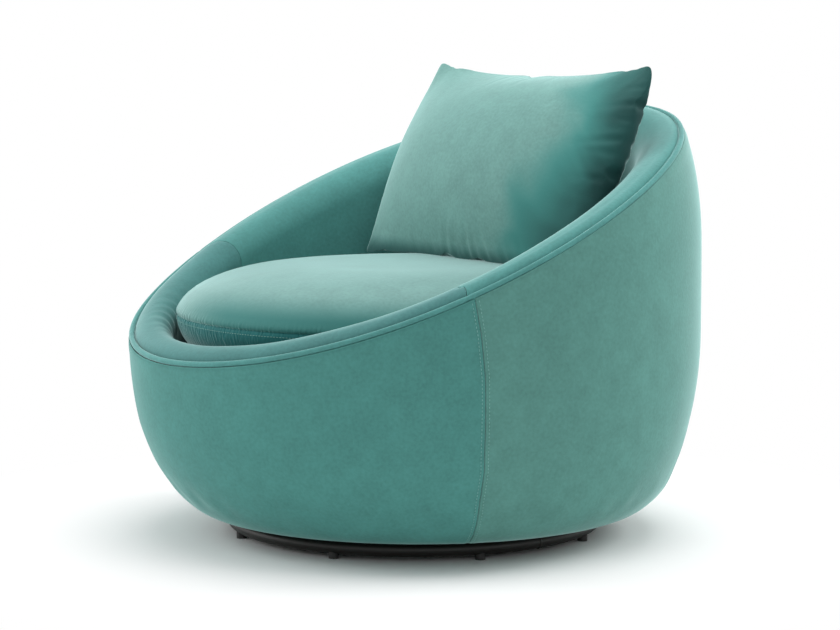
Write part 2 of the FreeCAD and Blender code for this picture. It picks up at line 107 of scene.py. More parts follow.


# Painted shade: a darker colour mixed in on one side or along the foot of a panel, with a ragged border
def paintShadeZone(tree, place, patches, paint, zone):
    split = addNode(tree, "ShaderNodeSeparateXYZ", {"Vector": place})
    slanted = addNode(tree, "ShaderNodeMath", {
        0: split.outputs["Z"], 1: -zone["slant"], 2: split.outputs["X"]}, operation="MULTIPLY_ADD")
    ragged = addNode(tree, "ShaderNodeMath", {
        0: patches, 1: velvetLook["raggedness"], 2: slanted.outputs["Value"]}, operation="MULTIPLY_ADD")
    sideStart, sideEnd = zone["side"]
    side = addNode(tree, "ShaderNodeMapRange", {
        "Value": ragged.outputs["Value"], "From Min": sideStart, "From Max": sideEnd},
        interpolation_type="SMOOTHSTEP")
    footTop, footLow, footShare = zone["foot"]
    foot = addNode(tree, "ShaderNodeMapRange", {
        "Value": split.outputs["Z"], "From Min": footTop, "From Max": footLow, "To Max": footShare},
        interpolation_type="SMOOTHSTEP")
    deep = addNode(tree, "ShaderNodeMath", {
        0: side.outputs["Result"], 1: foot.outputs["Result"]}, operation=zone["join"])
    mixed = addNode(tree, "ShaderNodeMixRGB", {
        0: deep.outputs["Value"], 1: paint, 2: linearColour(zone["colour"])})
    return mixed.outputs["Color"]


def velvet(name, code, turn, zones=(), sheen=1.0):
    material, tree, shader = startMaterial(
        name, Roughness=velvetLook["roughness"], Specular_IOR_Level=velvetLook["specular"],
        Sheen_Weight=sheen, Sheen_Roughness=velvetLook["sheenRoughness"],
        Sheen_Tint=linearColour(velvetLook["sheenTint"]))
    place = addNode(tree, "ShaderNodeTexCoord").outputs["Object"]
    mapped = addNode(tree, "ShaderNodeMapping", {"Vector": place, "Rotation": (0, 0, turn)})
    turned = mapped.outputs["Vector"]
    detail = velvetLook["fineDetail"]
    patches = addNode(tree, "ShaderNodeTexNoise", {
        "Vector": turned, "Scale": 1 / velvetLook["patch"], "Detail": detail,
        "Distortion": velvetLook["patchTwist"]}).outputs["Fac"]
    streaks = addNode(tree, "ShaderNodeTexNoise", {
        "Vector": turned, "Scale": 1 / velvetLook["streak"]}).outputs["Fac"]
    pile = addNode(tree, "ShaderNodeTexNoise", {
        "Vector": place, "Scale": 1 / velvetLook["pile"], "Detail": detail}).outputs["Fac"]
    both = addNode(tree, "ShaderNodeMath", {0: patches, 1: streaks}, operation="MULTIPLY")
    grainy = addNode(tree, "ShaderNodeMath", {
        0: pile, 1: velvetLook["pileShare"], 2: both.outputs["Value"]}, operation="MULTIPLY_ADD")
    ramp = addNode(tree, "ShaderNodeValToRGB", {"Fac": grainy.outputs["Value"]})
    middle = linearColour(code)
    ends = zip(ramp.color_ramp.elements, velvetLook["rampEnds"], velvetLook["spread"])
    for element, position, share in ends:
        element.position = position
        element.color = (*[share * c for c in middle[:3]], 1.0)
    paint = ramp.outputs["Color"]
    # Mix in the painted shade zones, each a darker colour
    for zone in zones:
        paint = paintShadeZone(tree, place, patches, paint, zone)
    tree.links.new(paint, shader.inputs["Base Color"])
    bump = addNode(tree, "ShaderNodeBump", {
        "Height": pile, "Strength": velvetLook["pileBump"], "Distance": velvetLook["pileHeight"]})
    tree.links.new(bump.outputs["Normal"], shader.inputs["Normal"])
    return material


# Painted shade zones: the border's start, end and slant, and the foot's upper and lower height and share
# Painted shade on the pillow: darker over its +x side, deepest at the +x edge, and along its foot
pillowShadeZones = (
    dict(side=(0.124, 0.214), slant=0.22, foot=(0.432, 0.402, 0.75), join="MAXIMUM", colour="#3E837E"),
    dict(side=(0.195, 0.325), slant=0.20, foot=(0.432, 0.402, 0.75), join="MAXIMUM", colour="#113736"),
)
# Painted shade on the cushion: darker towards the +x side and low down by the seam, where the rim shades it
cushionShadeZones = (
    dict(side=(-0.075, 0.185), slant=0.0, foot=(0.385, 0.345, 1.0), join="MULTIPLY", colour="#397571"),
)
outsideVelvet = velvet("velvet outside", "#53867E", 0.0, sheen=0.8)
outsideFrontVelvet = velvet("velvet outside front", "#47837D", 0.4, sheen=0.55)
liningVelvet = velvet("velvet lining", "#4C8884", 0.9)
liningFrontVelvet = velvet("velvet lining front", "#467A78", 1.3)
cushionVelvetWithShade = velvet("velvet cushion", "#6E9590", 1.9, cushionShadeZones)
# The cushion's lower band is a darker copy of the cushion velvet: painted shade for the band sitting low in
# the well
cushionBandShadedVelvet = velvet("velvet cushion band shaded", "#246B6B", 0.2)
pillowVelvetWithShade = velvet("velvet pillow with painted shade", "#69958F", 2.5, pillowShadeZones)


# Fine puckers where the cushion's panels are eased into their seam
puckers = dict(count=230, seam=0.330, forward=0.020, downRate=60.0, twist=0.5, strength=1.0, depth=0.0020)


def addPuckers(material, above, below):
    tree = material.node_tree
    place = addNode(tree, "ShaderNodeTexCoord").outputs["Object"]
    centred = addNode(tree, "ShaderNodeMapping", {"Vector": place, "Location": (0, puckers["forward"], 0)})
    turn = addNode(tree, "ShaderNodeTexGradient", {
        "Vector": centred.outputs["Vector"]}, gradient_type="RADIAL")
    height = addNode(tree, "ShaderNodeSeparateXYZ", {"Vector": place}).outputs["Z"]
    around = addNode(tree, "ShaderNodeMath", {
        0: turn.outputs["Fac"], 1: 2 * puckers["count"]}, operation="MULTIPLY")
    down = addNode(tree, "ShaderNodeMath", {0: height, 1: puckers["downRate"]}, operation="MULTIPLY")
    laid = addNode(tree, "ShaderNodeCombineXYZ", {
        "X": around.outputs["Value"], "Y": down.outputs["Value"]})
    wave = addNode(tree, "ShaderNodeTexNoise", {
        "Vector": laid.outputs["Vector"], "Scale": 1.0, "Detail": 1.0, "Distortion": puckers["twist"]})
    rising = addNode(tree, "ShaderNodeMapRange", {
        "Value": height, "From Min": puckers["seam"] - below, "From Max": puckers["seam"]},
        interpolation_type="SMOOTHSTEP")
    falling = addNode(tree, "ShaderNodeMapRange", {
        "Value": height, "From Min": puckers["seam"] + above, "From Max": puckers["seam"]},
        interpolation_type="SMOOTHSTEP")
    near = addNode(tree, "ShaderNodeMath", {
        0: rising.outputs["Result"], 1: falling.outputs["Result"]}, operation="MULTIPLY")
    faded = addNode(tree, "ShaderNodeMath", {
        0: wave.outputs["Fac"], 1: near.outputs["Value"]}, operation="MULTIPLY")
    bump = addNode(tree, "ShaderNodeBump", {
        "Height": faded.outputs["Value"], "Strength": puckers["strength"], "Distance": puckers["depth"],
        "Normal": tree.nodes["Bump"].outputs["Normal"]})
    tree.links.new(bump.outputs["Normal"], tree.nodes["Principled BSDF"].inputs["Normal"])


addPuckers(cushionVelvetWithShade, above=0.018, below=0.010)
addPuckers(cushionBandShadedVelvet, above=0.010, below=0.055)

# Spun polyester sewing thread, a shade paler than the pile it is sunk in
threadLook = dict(colours=("#5B928B", "#82B4AC"), twist=1 / 900, roughness=0.55)


def sewingThread():
    material, tree, shader = startMaterial("sewing thread", Roughness=threadLook["roughness"])
    place = addNode(tree, "ShaderNodeTexCoord")
    twist = addNode(tree, "ShaderNodeTexNoise", {
        "Vector": place.outputs["Object"], "Scale": 1 / threadLook["twist"]})
    ramp = addNode(tree, "ShaderNodeValToRGB", {"Fac": twist.outputs["Fac"]})
    for element, code in zip(ramp.color_ramp.elements, threadLook["colours"]):
        element.color = linearColour(code)
    tree.links.new(ramp.outputs["Color"], shader.inputs["Base Color"])
    return material


# Finishes that are one pattern between two colours, with a bump from the same pattern
patternLook = dict(detail=4.0, rampEnds=(0.3, 0.7), dulling=0.15, dullingShift=0.07, relief=0.3)


def patterned(name, colours, size, roughness, metallic=0.0, bump=0.2, stretch=(1, 1, 1), specular=0.5):
    material, tree, shader = startMaterial(name, Metallic=metallic, Specular_IOR_Level=specular)
    place = addNode(tree, "ShaderNodeTexCoord")
    mapped = addNode(tree, "ShaderNodeMapping", {"Vector": place.outputs["Object"], "Scale": stretch})
    pattern = addNode(tree, "ShaderNodeTexNoise", {
        "Vector": mapped.outputs["Vector"], "Scale": 1 / size,
        "Detail": patternLook["detail"]}).outputs["Fac"]
    ramp = addNode(tree, "ShaderNodeValToRGB", {"Fac": pattern})
    for element, position, code in zip(ramp.color_ramp.elements, patternLook["rampEnds"], colours):
        element.position = position
        element.color = linearColour(code)
    tree.links.new(ramp.outputs["Color"], shader.inputs["Base Color"])
    least = roughness - patternLook["dullingShift"]
    dull = addNode(tree, "ShaderNodeMath", {
        0: pattern, 1: patternLook["dulling"], 2: least}, operation="MULTIPLY_ADD")
    tree.links.new(dull.outputs["Value"], shader.inputs["Roughness"])
    raised = addNode(tree, "ShaderNodeBump", {
        "Height": pattern, "Strength": bump, "Distance": size * patternLook["relief"]})
    tree.links.new(raised.outputs["Normal"], shader.inputs["Normal"])
    return material


threadFinish = sewingThread()
# Black powder coat with a fine orange peel
powderCoat = patterned("powder coated steel", ("#0B0907", "#14110D"), 0.0012, 0.45, specular=0.4)
# Bright zinc with broad, faint clouds
zincPlate = patterned("zinc plated steel", ("#8E9296", "#B4B8BB"), 0.02, 0.38, metallic=1.0, bump=0.05)
# Black glides with a fine moulded grain
blackPlastic = patterned("moulded polypropylene", ("#131211", "#1B1A19"), 0.002, 0.55, bump=0.15)
# Undyed ball cage
nylon = patterned("moulded nylon", ("#C9C6BB", "#D8D5CB"), 0.004, 0.45, bump=0.1)
# Birch face veneer with its grain along x
plywood = patterned("birch plywood", ("#B48A58", "#D6B384"), 0.006, 0.6, stretch=(0.12, 1.0, 1.0))
# Brown pressed fibres
fibreboard = patterned("fibreboard", ("#8A6A48", "#A08058"), 0.003, 0.85)
# Dark woven straps
webbing = patterned("elastic webbing", ("#23201E", "#3A3633"), 0.003, 0.8, stretch=(1.0, 0.3, 1.0))
# Thin black spun cloth under the tub
blackCloth = patterned("spun black cloth", ("#101010", "#1C1C1C"), 0.0018, 0.9, bump=0.4)
# Teal twill below the cushion
deckCloth = patterned("twill deck cloth", ("#274D4B", "#33605D"), 0.0022, 0.9, bump=0.4)

nodeFinish = {
    powderCoat: ("base_ring", "base_spokes", "hub_plate"),
    zincPlate: (
        "swivel_lower_plate", "swivel_upper_plate", "lower_plate_bolts", "lower_plate_nuts", "pivot_rivet",
        "pivot_washer", "upper_plate_bolts", "tee_nuts", "bearing_balls"),
    blackPlastic: ("glides",),
    nylon: ("ball_cage",),
    plywood: ("bottom_board", "frame_ribs", "rim_hoop", "seat_ring"),
    fibreboard: ("outer_card", "inner_card"),
    webbing: ("seat_webbing", "cross_webbing"),
}
for finish, nodeNames in nodeFinish.items():
    for nodeName in nodeNames:
        nodeMesh = frame["nodes"][nodeName].data
        nodeMesh.materials.clear()
        nodeMesh.materials.append(finish)
print("materials made")

# Tub outline in metres, from its bottom to the rim, and the well for the cushion
tub = dict(
    radius=0.430, floorRadius=0.310, bottom=0.032, hem=0.258,
    bellyLow=0.300, bellyHigh=0.440, shoulderRise=0.230, shoulderDepth=0.088,
    rimSpan=0.460, rimPoles=(0.275, 0.3766, 0.575, 0.664), padRise=(0.008, 0.003),
    wellRadius=0.346, wellForward=0.020, deck=0.235, channel=0.0098, rimRounds=40,
)


def wallRadius(z):
    low = np.clip((tub["bellyLow"] - z) / (tub["bellyLow"] - tub["bottom"]), 0, 1)
    high = np.clip((z - tub["bellyHigh"]) / tub["shoulderRise"], 0, 1)
    tuck = (tub["radius"] - tub["floorRadius"]) * (1 - np.sqrt(1 - low**2))
    draw = tub["shoulderDepth"] * (1 - np.sqrt(1 - high**2))
    return tub["radius"] - tuck - draw


def rimHeight(y):
    t = (y + tub["rimSpan"]) / (2 * tub["rimSpan"])
    s = 1 - t
    a, b, c, d = tub["rimPoles"]
    return a * s**3 + 3 * b * s * s * t + 3 * c * s * t * t + d * t**3


def padTop(y):
    t = (y + tub["rimSpan"]) / (2 * tub["rimSpan"])
    front, back = tub["padRise"]
    return rimHeight(y) + front + (back - front) * t


def rimLine(theta, inset, drop):
    radius = np.full_like(theta, tub["radius"])
    for _ in range(tub["rimRounds"]):
        height = rimHeight(radius * np.sin(theta)) - drop
        radius = wallRadius(height) - inset
    return radius, height


seedSteps = (7.31, 3.77, 1.93)


def roughness(points, size, seed):
    shift = Vector([seed * step for step in seedSteps])
    values = [noise.noise(Vector(p) / size + shift) for p in points.reshape(-1, 3)]
    return np.array(values).reshape(points.shape[:-1])


def fullTurn(count):
    return 2 * math.pi * np.arange(count) / count


def polar(radius, theta, height):
    return np.stack(np.broadcast_arrays(radius * np.cos(theta), radius * np.sin(theta), height), -1)


def lengthAlong(points):
    return np.concatenate([[0], np.cumsum(np.linalg.norm(np.diff(points, axis=0), axis=1))])


def edgeSteps(length, step, fine):
    fine = np.array(fine)
    middle = np.linspace(fine[-1], length - fine[-1], max(2, round((length - 2 * fine[-1]) / step) + 1))
    return np.concatenate([fine, middle[1:-1], (length - fine)[::-1]]) / length


def gridNormals(points):
    normals = np.cross(np.gradient(points, axis=1), np.gradient(points, axis=0))
    return normals / np.maximum(np.linalg.norm(normals, axis=2, keepdims=True), 1e-12)


# The two edge columns lie on their neighbours, so they take their normals from them
def panelNormals(points):
    normals = gridNormals(points)
    normals[:, [0, -1]] = normals[:, [1, -2]]
    return normals


# Swelling of the given height at a distance from a seam, with its width
def lip(distance, height, place, width):
    return height * np.exp(-((distance - place) / width) ** 2)


def addObject(name, data):
    added = bpy.data.objects.new(name, data)
    scene.collection.objects.link(added)
    return added


def newPiece(name, vertices, faces, material, body, slot):
    mesh = bpy.data.meshes.new(name)
    mesh.from_pydata([tuple(v) for v in vertices], [], faces)
    mesh.shade_smooth()
    mesh.materials.append(material)
    piece = addObject(name, mesh)
    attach(piece, body)
    return piece


def gridFaces(rows, columns, closed=False, looped=False):
    faces = []
    for i in range(rows if looped else rows - 1):
        here = i * columns
        there = (i + 1) % rows * columns
        for j in range(columns if closed else columns - 1):
            k = (j + 1) % columns
            faces.append((here + j, here + k, there + k, there + j))
    return faces


def turnOut(piece, away):
    mesh = piece.data
    total = sum(p.normal.dot(away(p.center)) * p.area for p in mesh.polygons)
    if total < 0:
        mesh.flip_normals()


def sharpen(piece, columns, chosen):
    for edge in piece.data.edges:
        first, second = edge.vertices
        edge.use_edge_sharp = first % columns == second % columns and first % columns in chosen


def thicken(piece, thickness):
    shell = piece.modifiers.new("cloth thickness", "SOLIDIFY")
    shell.thickness = thickness
    shell.offset = -1.0


def sewnPanel(name, points, material, away, thickness, node):
    rows, columns = points.shape[:2]
    piece = newPiece(name, points.reshape(-1, 3), gridFaces(rows, columns), material, "tub", "velvet")
    turnOut(piece, away)
    sharpen(piece, columns, (1, columns - 2))
    thicken(piece, thickness)
    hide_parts(node)
    return piece


# Outer cover, two panels sewn at the sides; a lip is its height, its distance from the edge and its width
outer = dict(
    step=0.0075, thickness=0.0026, cutLength=0.62, evenFrom=0.025, arcPoints=120, tablePoints=721,
    sideAngle=69.0, startHeight=0.3, rounds=4,
    seamHeights=(0.04, 0.08, 0.15, 0.28, 0.34, 0.39, 0.43),
    seamAngles=(69.0, 69.4, 70.4, 70.0, 69.2, 68.0, 66.7),   # from the front, in degrees
    leanHeights=(0.03, 0.06, 0.085, 0.105, 0.17),
    leanBack=(0.009, 0.009, 0.007, 0.004, 0.0),               # the lower part hangs a little to the back
    seamGap=0.0004, seamDip=0.0008, seamWidth=0.0007, seamLip=(0.0004, 0.008, 0.005),
    tuckDip=0.0006, tuckWidth=0.0024, tuckLip=(0.0007, 0.011, 0.006),
    slack=0.0013, slackSize=0.17, slackSeed=3, calmBelow=0.05, calmRise=0.1,
    pulls=0.0005, pullSize=0.03, pullSeed=5, pullStretch=(1, 1, 2.5), pullReach=0.035,
    hemPulls=0.0016, hemSize=0.028, hemSeed=7, hemStretch=(1, 1, 0.35),
    hemHeight=0.075, hemReach=0.03, hemBelow=0.036, hemRise=0.02,
    topDrop=0.0072, turnIn=0.008,
    under=((0.0010, 0.0013), (0.0030, 0.0031), (0.0060, 0.0034), (0.0090, 0.0034)),   # below the piping
)
# Columns beside an edge; the first two are one line, turned in
fineEdge = (0, 0, 0.0012, 0.0025, 0.004, 0.006, 0.009, 0.013, 0.018)


def outerMeridian():
    t = np.linspace(0, math.pi / 2, outer["arcPoints"])
    tuck = tub["radius"] - tub["floorRadius"]
    rise = tub["bellyLow"] - tub["bottom"]
    lowR = tub["floorRadius"] + tuck * np.sin(t)
    lowZ = tub["bellyLow"] - rise * np.cos(t)
    highR = tub["radius"] - tub["shoulderDepth"] * (1 - np.cos(t))
    highZ = tub["bellyHigh"] + tub["shoulderRise"] * np.sin(t)
    radius = np.concatenate([[tub["hem"]], lowR, highR])
    height = np.concatenate([[tub["bottom"]], lowZ, highZ])
    return lengthAlong(np.stack([radius, height], -1)), radius, height


meridian = outerMeridian()
tableTheta = np.linspace(-math.pi, math.pi, outer["tablePoints"])
tableTop = np.interp(rimLine(tableTheta, 0, outer["topDrop"])[1], meridian[2][1:], meridian[0][1:])


def outerPoint(theta, share):
    length = np.interp((theta + math.pi) % (2 * math.pi) - math.pi, tableTheta, tableTop)
    radius = np.interp(share * length, meridian[0], meridian[1])
    height = np.interp(share * length, meridian[0], meridian[2])
    lean = np.interp(height, outer["leanHeights"], outer["leanBack"])
    lean = lean * np.clip((radius - tub["hem"]) / (tub["floorRadius"] - tub["hem"]), 0, 1)
    points = polar(radius, theta, height)
    points[..., 1] += lean
    return points, length


def seamAngle(height):
    return np.radians(np.interp(height, outer["seamHeights"], outer["seamAngles"]))


def outerPanel(name, node, front, material):
    half = math.radians(outer["sideAngle"])
    span = 2 * half if front else 2 * math.pi - 2 * half
    width = span * tub["radius"]
    across = edgeSteps(width, outer["step"], fineEdge)[None, :]
    length = outer["cutLength"]
    down = np.concatenate([fineEdge[1:], np.arange(outer["evenFrom"], length, outer["step"]), [length]])
    upward = (1 - down / length)[::-1, None]
    shape = (upward.shape[0], across.shape[1])
    height = np.full(shape, outer["startHeight"])
    seamGap = outer["seamGap"] / tub["radius"]
    for _ in range(outer["rounds"]):
        seam = seamAngle(height)
        first = -math.pi / 2 - seam if front else -math.pi / 2 + seam
        last = -math.pi / 2 + seam if front else 1.5 * math.pi - seam
        theta = first + seamGap + (last - first - 2 * seamGap) * across
        points, top = outerPoint(theta, np.broadcast_to(upward, shape))
        height = points[..., 2]
    reach = np.hypot(points[..., 0], points[..., 1])
    fromSeam = np.minimum(across, 1 - across) * width * reach / tub["radius"]
    fromTop = (1 - upward) * top
    normals = panelNormals(points)
    normals *= np.sign((normals[..., :2] * points[..., :2]).sum((0, 1, 2)))
    press = -outer["seamDip"] * np.exp(-fromSeam / outer["seamWidth"]) + lip(fromSeam, *outer["seamLip"])
    press -= outer["tuckDip"] * np.exp(-fromTop / outer["tuckWidth"])
    press += lip(fromTop, *outer["tuckLip"])
    calm = np.clip((height - outer["calmBelow"]) / outer["calmRise"], 0, 1)
    press += calm * outer["slack"] * roughness(points, outer["slackSize"], outer["slackSeed"])
    pulled = roughness(points * outer["pullStretch"], outer["pullSize"], outer["pullSeed"])
    press += outer["pulls"] * pulled * np.exp(-fromSeam / outer["pullReach"])
    tucked = np.exp(-np.abs(height - outer["hemHeight"]) / outer["hemReach"])
    tucked *= np.clip((height - outer["hemBelow"]) / outer["hemRise"], 0, 1)
    gathered = roughness(points * outer["hemStretch"], outer["hemSize"], outer["hemSeed"])
    press += outer["hemPulls"] * tucked * gathered
    press[:, [0, -1]] = -outer["turnIn"]
    points = points + normals * press[..., None]
    inward = polar(-1, theta[-1], 0)
    flange = [points[-1] + inward * turned - (0, 0, drop) for turned, drop in outer["under"]]
    points = np.concatenate([points, np.stack(flange)])
    return sewnPanel(name, points, material, lambda p: Vector((p.x, p.y, 0)), outer["thickness"], node)


frontCover = outerPanel("outerFrontPanel", "outer_front_cover", True, outsideFrontVelvet)
backCover = outerPanel("outerBackPanel", "outer_back_cover", False, outsideVelvet)
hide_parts("outer_foam")
print("outer panels made")

# Rolled rim and lining, one padded sheet from the piping over the rim and down to the deck
lining = dict(
    step=0.0075, thickness=0.0026, meanRadius=0.38, seamRight=66.7, seamLeft=69.5,
    outerRound=(0.017, 0.013), roll=(0.046, 0.044), leastFlat=0.002,   # half axes of quarter ellipses
    rows=(5, 9, 11, 15, 40),                        # up from the piping, outer round, flat, roll and wall
    deckGap=0.0004, twist=2.0, twistFrom=10, twistRows=25, wallRows=20,
    seamDip=0.0004, seamWidth=0.0007, seamLip=(0.0002, 0.008, 0.005),
    slack=0.0011, slackSize=0.12, slackSeed=11, slackFrom=4, slackRows=8, faceUp=0.35,
    creaseAngle=-122.0, creaseReach=15.0, creaseDepth=0.0019, creasePitch=4.2,
    creaseRow=35.0, creaseRows=8.0, creaseSwerve=2.5, creaseSize=0.05, creaseSeed=15,
)


def wellDistance(theta):
    forward = tub["wellForward"] * np.sin(theta)
    return -forward + np.sqrt(forward**2 + tub["wellRadius"]**2 - tub["wellForward"]**2)


def liningSection(theta):
    ra, za = rimLine(theta, tub["channel"], tub["channel"])
    width = ra - wellDistance(theta)
    ro, edgeDrop = lining["outerRound"]
    ri, rollDrop = lining["roll"]
    ri = np.minimum(ri, width - ro - lining["leastFlat"])
    upRows, roundRows, flatRows, rollRows, wallRows = lining["rows"]
    columns = []

    def put(inward, below, wall=None):
        radius = ra - inward
        height = padTop(radius * np.sin(theta)) - below if wall is None else wall
        columns.append((radius, height))

    edge = padTop(ra * np.sin(theta))
    for t in np.linspace(0, 1, upRows)[:-1]:
        put(0 * ra, 0, za + (edge - edgeDrop - za) * t)
    for a in np.linspace(0, math.pi / 2, roundRows)[:-1]:
        put(ro * (1 - math.cos(a)) + 0 * ra, edgeDrop * (1 - math.sin(a)))
    for t in np.linspace(0, 1, flatRows)[:-1]:
        put(ro + (width - ro - ri) * t, 0)
    for a in np.linspace(0, math.pi / 2, rollRows)[:-1]:
        put(width - ri * (1 - math.sin(a)), rollDrop * (1 - math.cos(a)))
    top = padTop((ra - width) * np.sin(theta)) - rollDrop
    for t in np.linspace(0, 1, wallRows):
        put(width, 0, top + (tub["deck"] + lining["deckGap"] - top) * t)
    radius = np.stack([c[0] for c in columns])
    height = np.stack([c[1] + 0 * ra for c in columns])
    return polar(radius, theta, height)


def liningPanel(name, node, front, material):
    right = math.radians(lining["seamRight"]) - math.pi / 2
    left = -math.radians(lining["seamLeft"]) - math.pi / 2
    first, last = (left, right) if front else (right, left + 2 * math.pi)
    width = (last - first) * lining["meanRadius"]
    across = edgeSteps(width, lining["step"], fineEdge)
    seamGap = outer["seamGap"] / tub["radius"]
    theta = first + seamGap + (last - first - 2 * seamGap) * across
    rows = liningSection(theta).shape[0]
    turned = np.clip((np.arange(rows) - lining["twistFrom"]) / lining["twistRows"], 0, 1)
    twist = math.radians(lining["twist"]) * turned
    points = np.stack([liningSection(theta - twist[i])[i] for i in range(rows)])
    normals = panelNormals(points)
    inward = polar(-1, theta, 0)
    normals *= np.sign((normals[-lining["wallRows"]:] * inward[None]).sum())
    fromSeam = (np.minimum(across, 1 - across) * width)[None, :]
    press = -lining["seamDip"] * np.exp(-fromSeam / lining["seamWidth"]) + lip(fromSeam, *lining["seamLip"])
    press = press * np.ones(points.shape[:2])
    row = np.arange(rows)[:, None]
    soft = np.clip((row - lining["slackFrom"]) / lining["slackRows"], 0, 1)
    press += soft * lining["slack"] * roughness(points, lining["slackSize"], lining["slackSeed"])
    angle = np.degrees(theta)[None, :]
    near = lip(angle, 1.0, lining["creaseAngle"], lining["creaseReach"])
    swerve = lining["creaseSwerve"] * roughness(points, lining["creaseSize"], lining["creaseSeed"])
    wave = np.sin(2 * math.pi * angle / lining["creasePitch"] + swerve)
    band = lip(row, 1.0, lining["creaseRow"], lining["creaseRows"])
    press += lining["creaseDepth"] * near * band * wave
    press[:, [0, -1]] = -outer["turnIn"]
    points = points + normals * press[..., None]

    def inside(p):
        return Vector((-p.x, -p.y, lining["faceUp"]))

    return sewnPanel(name, points, material, inside, lining["thickness"], node)


liningFront = liningPanel("liningFrontPanel", "inner_front_lining", True, liningFrontVelvet)
liningBack = liningPanel("liningBackPanel", "inner_back_lining", False, liningVelvet)
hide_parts("inner_foam")
print("lining made")

# Self-fabric piping round the rim, pinched where its ends are joined
piping = dict(
    radius=0.0043, points=560, sides=12, inset=0.0049,
    swell=0.03, swellSize=0.03, swellSeed=21, joinDip=0.0006, joinWidth=0.003,
)


def tubeMesh(path, radius, sides):
    along = np.roll(path, -1, 0) - np.roll(path, 1, 0)
    along /= np.linalg.norm(along, axis=1, keepdims=True)
    side = np.cross(along, (0, 0, 1.0))
    side /= np.linalg.norm(side, axis=1, keepdims=True)
    up = np.cross(side, along)
    turn = fullTurn(sides)
    ring = side[:, None] * np.cos(turn)[None, :, None] + up[:, None] * np.sin(turn)[None, :, None]
    vertices = path[:, None] + ring * radius[:, None, None]
    return vertices.reshape(-1, 3), gridFaces(len(path), sides, True, True)


pipeTheta = np.linspace(-math.pi, math.pi, piping["points"], endpoint=False)
pipeRadius, pipeHeight = rimLine(pipeTheta, piping["inset"], piping["inset"])
pipePath = polar(pipeRadius, pipeTheta, pipeHeight)
pipeUneven = roughness(pipePath[None], piping["swellSize"], piping["swellSeed"])[0]
pipeSwell = piping["radius"] * (1 + piping["swell"] * pipeUneven)
for seam in (-lining["seamLeft"], lining["seamRight"]):
    join = np.abs(pipeTheta + math.pi / 2 - math.radians(seam)) * tub["radius"]
    pipeSwell -= lip(join, piping["joinDip"], 0, piping["joinWidth"])
pipeVertices, pipeFaces = tubeMesh(pipePath, pipeSwell, piping["sides"])
pipingPiece = newPiece("rimPiping", pipeVertices, pipeFaces, liningVelvet, "tub", "velvet")
turnOut(pipingPiece, lambda p: Vector((p.x, p.y, 0)))
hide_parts("rim_piping")
print("piping made")


def vertexArray(mesh):
    points = np.zeros(len(mesh.vertices) * 3)
    mesh.vertices.foreach_get("co", points)
    return points.reshape(-1, 3)


def setVertices(mesh, points):
    mesh.vertices.foreach_set("co", np.ascontiguousarray(points).ravel())
    mesh.update()


def evaluatedMesh(piece):
    graph = bpy.context.evaluated_depsgraph_get()
    return bpy.data.meshes.new_from_object(piece.evaluated_get(graph), depsgraph=graph)


def keepModified(piece, modifier):
    mesh = evaluatedMesh(piece)
    piece.modifiers.remove(modifier)
    piece.data = mesh


# A sewn cover puffed up by its filling, with every point's travel capped
def inflate(piece, filling, held=None):
    start = vertexArray(piece.data)
    cloth = piece.modifiers.new("inflate", "CLOTH")
    cloth.settings.quality = filling["quality"]
    cloth.settings.bending_stiffness = filling["stiffness"]
    cloth.settings.use_pressure = True
    cloth.settings.uniform_pressure_force = filling["pressure"]
    cloth.settings.effector_weights.gravity = 0
    if held is not None:
        group = piece.vertex_groups.new(name="held")
        group.add(np.flatnonzero(held).tolist(), 1.0, "REPLACE")
        cloth.settings.vertex_group_mass = "held"
    cloth.collision_settings.use_collision = False
    cloth.point_cache.frame_start = 1
    cloth.point_cache.frame_end = filling["frames"]
    for step in range(1, filling["frames"] + 1):
        scene.frame_set(step)
    graph = bpy.context.evaluated_depsgraph_get()
    moved = vertexArray(piece.evaluated_get(graph).data)
    piece.modifiers.remove(cloth)
    piece.vertex_groups.clear()
    scene.frame_set(1)
    travel = moved - start
    length = np.linalg.norm(travel, axis=1, keepdims=True)
    travel *= np.minimum(1, filling["cap"] / np.maximum(length, 1e-9))
    setVertices(piece.data, start + travel)
    print("inflated", piece.name, "by up to", round(float(length.max()) * 1000, 1), "mm")


# Running mean over so many lines to either side
def eased(lines, reach):
    padded = np.pad(lines, [(reach, reach)] + [(0, 0)] * (lines.ndim - 1), mode="edge")
    return sum(padded[i:i + len(lines)] for i in range(2 * reach + 1)) / (2 * reach + 1)


def subdivideOnce(piece):
    smooth = piece.modifiers.new("smooth", "SUBSURF")
    smooth.levels = 1
    smooth.render_levels = 1
    keepModified(piece, smooth)
    piece.data.shade_smooth()


def remesh(piece, voxel):
    even = piece.modifiers.new("even grid", "REMESH")
    even.mode = "VOXEL"
    even.voxel_size = voxel
    keepModified(piece, even)


# Round seat cushion: its cover is puffed up on a coarse blank, and the slack found goes on the panels
cushion = dict(
    radius=0.3405, seam=0.330, crown=0.405, topCurve=0.200, lowCurve=0.150, bottom=0.2357, reach=0.3415,
    turns=900, rows=26, centre=0.002, linePoints=400,
    blankTurns=256, voxel=0.006, shrink=0.004, probe=0.03, slack=0.30, slackEase=25,
    quality=4, pressure=4.0, frames=16, cap=0.012, stiffness=3.0,
    gatherDepth=0.0005, gatherPitch=0.0085, gatherAbove=0.012, gatherBelow=0.032,
    swerve=9, swerveSize=0.11, swerveSeed=31,
    gatherLeast=0.6, gatherSpread=0.8, spreadSize=0.2, spreadSeed=33,
    seamDip=0.0030, seamWidth=0.0016, lip=(0.0012, 0.006, 0.005),
    wave=0.0016, waveSize=0.16, waveSeed=35, waveFrom=0.05,
)
besideSeam = (0, 0.0008, 0.0016, 0.0026, 0.004, 0.006, 0.009, 0.013, 0.018, 0.025, 0.034)
cushionMiddle = np.array([0, -tub["wellForward"], cushion["seam"]])


